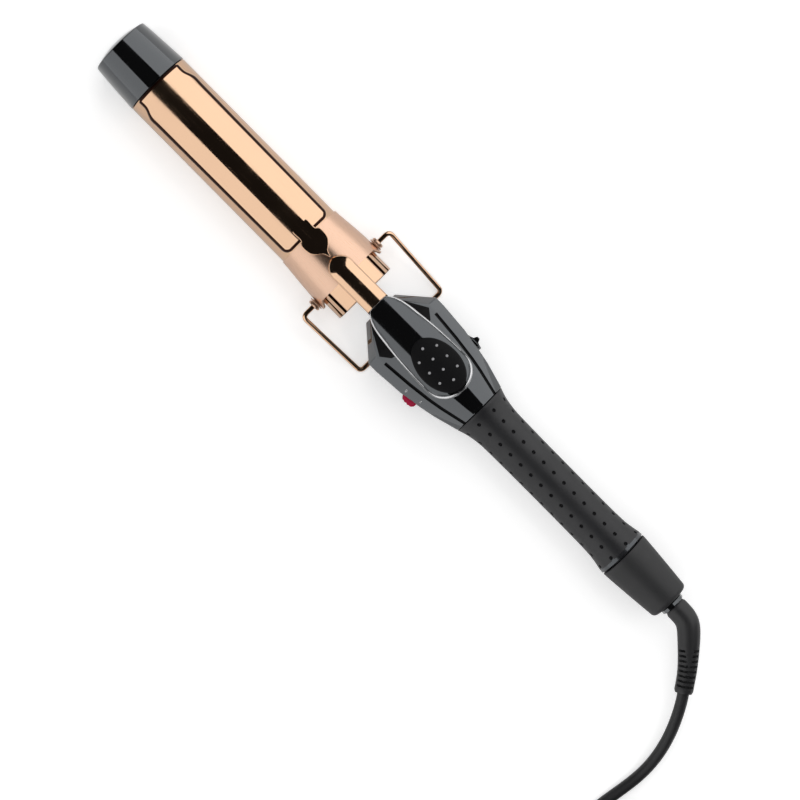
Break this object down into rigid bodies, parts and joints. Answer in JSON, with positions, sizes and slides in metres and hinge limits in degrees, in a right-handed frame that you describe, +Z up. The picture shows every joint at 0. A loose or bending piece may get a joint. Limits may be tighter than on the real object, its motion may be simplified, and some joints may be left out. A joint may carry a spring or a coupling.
{
  "type": "curling iron",
  "caption": "Curling iron: round barrel with a sprung clamp and thumb lever, fold-out wire stand, slide switch, heat dial, rubber grip and a swivel cord with plug.",
  "frame": {"origin": "on the surface the tool lies on, under the middle of the tool without its cord", "axes": "+X along the barrel's axis from the tip to the cord, +Z up through the thumb lever, +Y to the heat dial's side"},
  "size_m": [0.4765, 0.1777, 0.0576],
  "materials": {
    "gloss_black": "gloss",
    "rose_gold": "polished",
    "rose_gold_satin": "satin",
    "grip_rubber": "matte",
    "satin_black": "satin",
    "switch_red": "gloss",
    "steel": "satin",
    "aluminium": "satin",
    "ceramic": "matte",
    "board_green": "satin",
    "brass": "polished",
    "cord_rubber": "satin",
    "tie_black": "matte"
  },
  "bodies": {
    "handle": {"tip_cap": "gloss_black", "tip_insulator": "satin_black", "barrel_tube": "rose_gold", "heater_half_upper": "aluminium", "heater_half_lower": "aluminium", "heating_bar": "ceramic", "thermostat": "steel", "thermal_fuse": "steel", "barrel_end_insulator": "satin_black", "stem": "steel", "lead_wire_live": "switch_red", "lead_wire_neutral": "satin_black", "hinge_pin_left": "rose_gold_satin", "hinge_pin_right": "rose_gold_satin", "hinge_washer_left": "rose_gold_satin", "hinge_washer_right": "rose_gold_satin", "upper_housing": "gloss_black", "lower_housing": "gloss_black", "housing_screw_1": "steel", "housing_screw_2": "steel", "housing_screw_3": "steel", "housing_screw_4": "steel", "circuit_board": "board_green", "dial_potentiometer": "satin_black", "switch_body": "satin_black", "grip_sleeve": "grip_rubber", "grip_core": "satin_black", "rear_cone": "satin_black", "swivel_socket": "ceramic"},
    "clamp": {"clamp_blade": "rose_gold", "blade_boss": "rose_gold_satin", "boss_rivet_1": "rose_gold_satin", "boss_rivet_2": "rose_gold_satin", "clamp_saddle": "rose_gold_satin", "lever_neck": "rose_gold", "thumb_lever": "gloss_black", "thumb_pad": "grip_rubber", "lever_rivet_1": "steel", "lever_rivet_2": "steel", "clamp_spring": "steel"},
    "stand": {"stand_wire": "rose_gold"},
    "power_switch": {"switch_slider": "switch_red"},
    "heat_dial": {"heat_dial": "satin_black", "dial_shaft": "satin_black"},
    "swivel": {"swivel_spindle": "satin_black", "contact_ring_front": "brass", "contact_ring_rear": "brass", "swivel_collar": "gloss_black", "strain_relief": "cord_rubber", "cord_lead": "cord_rubber", "cord_coil": "cord_rubber", "cord_tie": "tie_black", "cord_tail": "cord_rubber", "plug_relief": "cord_rubber", "plug_body": "cord_rubber", "plug_blade_left": "brass", "plug_blade_right": "brass"}
  },
  "joints": [
    {"name": "clamp_hinge", "type": "hinge", "parent": "handle", "child": "clamp", "pos_m": [-0.0319, 0, 0.0175], "axis": [0, 1, 0], "range_deg": [0, 13], "stiffness_Nm_per_rad": 0.6, "springref_deg": -20.05, "deforming": ["clamp_spring"]},
    {"name": "stand_hinge", "type": "hinge", "parent": "handle", "child": "stand", "pos_m": [-0.0319, 0, 0.0175], "axis": [0, 1, 0], "range_deg": [0, 95]},
    {"name": "switch_slide", "type": "slide", "parent": "handle", "child": "power_switch", "axis": [1, 0, 0], "range_m": [-0.004, 0.004]},
    {"name": "dial_turn", "type": "hinge", "parent": "handle", "child": "heat_dial", "pos_m": [0.0303, 0.02, 0.0175], "axis": [0, 1, 0], "range_deg": [-135, 135]},
    {"name": "cord_swivel", "type": "hinge", "parent": "handle", "child": "swivel", "pos_m": [0.1771, 0, 0.0175], "axis": [1, 0, 0], "continuous": true}
  ]
}
